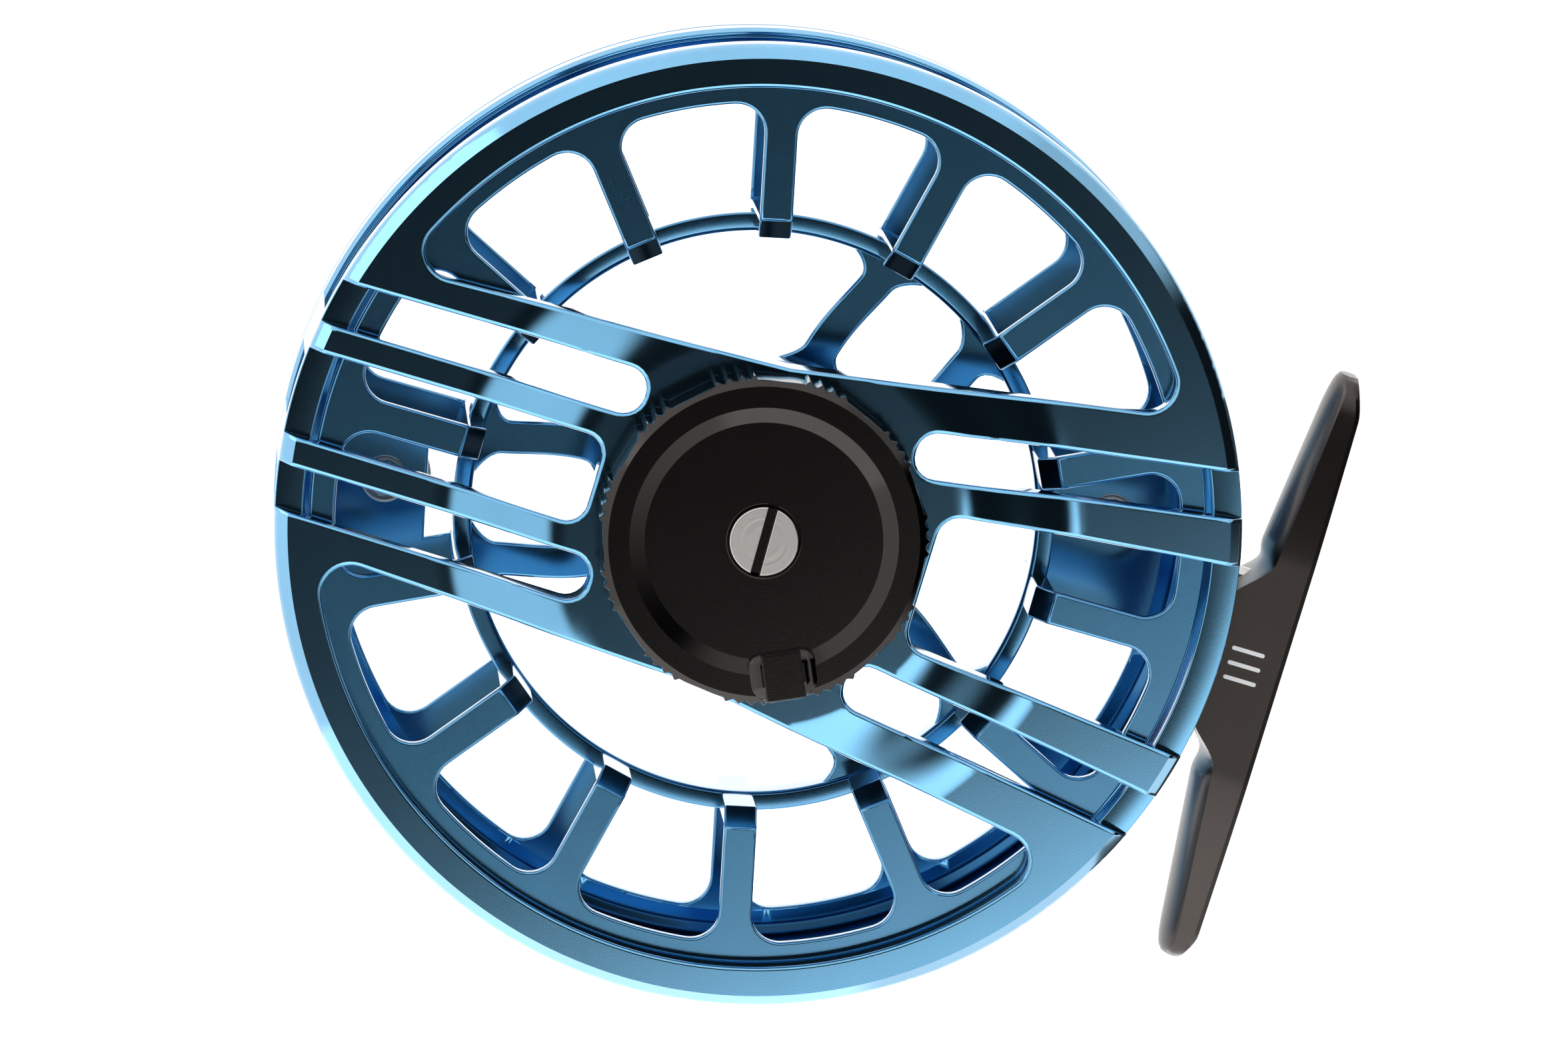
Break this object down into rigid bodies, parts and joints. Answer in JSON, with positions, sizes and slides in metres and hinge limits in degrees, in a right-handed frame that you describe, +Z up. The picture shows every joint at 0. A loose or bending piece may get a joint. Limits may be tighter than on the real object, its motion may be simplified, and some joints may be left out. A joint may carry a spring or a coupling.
{
  "type": "fly reel",
  "caption": "Large-arbor fly reel: ported frame on a rod foot, spoked open spool with winding handle and counterweight, and a sealed disc drag set by a knob.",
  "frame": {"origin": "middle of the flat seat under the reel foot, where it rests on a rod's reel seat", "axes": "+Z up from the foot through the spindle; spindle along Y, drag knob towards -Y, winding handle towards +Y; +X completes a right-handed frame, along the rod"},
  "size_m": [0.1016, 0.0672, 0.1088],
  "materials": {
    "blue_anodised": "blue anodised, semi-gloss",
    "black_anodised": "black anodised, satin",
    "stainless": "turned stainless",
    "brass": "turned bronze",
    "carbon": "carbon fibre friction disc",
    "seal_rubber": "black nitrile"
  },
  "bodies": {
    "reel_body": {"frame": "blue_anodised", "reel_foot": "black_anodised", "foot_screw_1": "stainless", "foot_screw_2": "stainless", "drag_housing": "black_anodised", "housing_screw_1": "stainless", "housing_screw_2": "stainless", "housing_screw_3": "stainless", "drag_cover": "black_anodised", "sleeve_seal": "seal_rubber", "spindle": "stainless", "steel_disc_1": "stainless", "steel_disc_2": "stainless", "steel_disc_3": "stainless", "drag_spring_1": "stainless", "drag_spring_2": "stainless", "click_spring": "stainless", "detent_spring": "stainless"},
    "knob": {"drag_knob": "black_anodised", "knob_insert": "brass", "knob_screw": "stainless"},
    "drag_pressure": {"pressure_plate": "stainless", "push_pin_1": "stainless", "push_pin_2": "stainless", "push_pin_3": "stainless", "thrust_washer": "brass"},
    "drive": {"drive_sleeve": "stainless", "clutch_rotor": "stainless", "roller_clutch": "brass", "bearing_rear": "stainless", "bearing_front": "stainless", "carbon_disc_1": "carbon", "carbon_disc_2": "carbon", "carbon_disc_3": "carbon", "click_plate": "stainless"},
    "spool": {"spool": "blue_anodised", "handle_post": "stainless", "handle_mount_screw": "stainless", "grip_end_screw": "stainless", "counterweight": "stainless", "counterweight_screw": "stainless", "cap_clip": "stainless"},
    "cap": {"release_cap": "black_anodised"},
    "handle": {"handle_grip": "black_anodised", "grip_bushing_1": "brass", "grip_bushing_2": "brass"},
    "clicker": {"click_pin": "stainless"},
    "knob_detent": {"detent_ball": "stainless"}
  },
  "joints": [
    {"name": "drag_knob_turn", "type": "hinge", "parent": "reel_body", "child": "knob", "pos_m": [0, -0.02, 0.058], "axis": [0, 1, 0], "range_deg": [0, 330]},
    {"name": "drag_squeeze", "type": "slide", "parent": "reel_body", "child": "drag_pressure", "axis": [0, 1, 0], "range_m": [0, 0.0005]},
    {"name": "spool_turn", "type": "hinge", "parent": "reel_body", "child": "drive", "pos_m": [0, 0, 0.058], "axis": [0, 1, 0], "continuous": true},
    {"name": "spool_lift_off", "type": "slide", "parent": "drive", "child": "spool", "axis": [0, 1, 0], "range_m": [0, 0.036]},
    {"name": "release_cap_turn", "type": "hinge", "parent": "spool", "child": "cap", "pos_m": [0, 0.014, 0.058], "axis": [0, 1, 0], "range_deg": [0, 720]},
    {"name": "handle_spin", "type": "hinge", "parent": "spool", "child": "handle", "pos_m": [0.00917, 0.03, 0.02009], "axis": [0, 1, 0], "continuous": true},
    {"name": "click_press", "type": "slide", "parent": "reel_body", "child": "clicker", "axis": [0, -1, 0], "range_m": [0, 0.0006], "stiffness_N_per_m": 200},
    {"name": "detent_press", "type": "slide", "parent": "reel_body", "child": "knob_detent", "axis": [0, 1, 0], "range_m": [0, 0.0005], "stiffness_N_per_m": 400}
  ],
  "couplings": [
    {"joint": "drag_squeeze", "follows": "drag_knob_turn", "m_per_rad": 0.0000868}
  ]
}
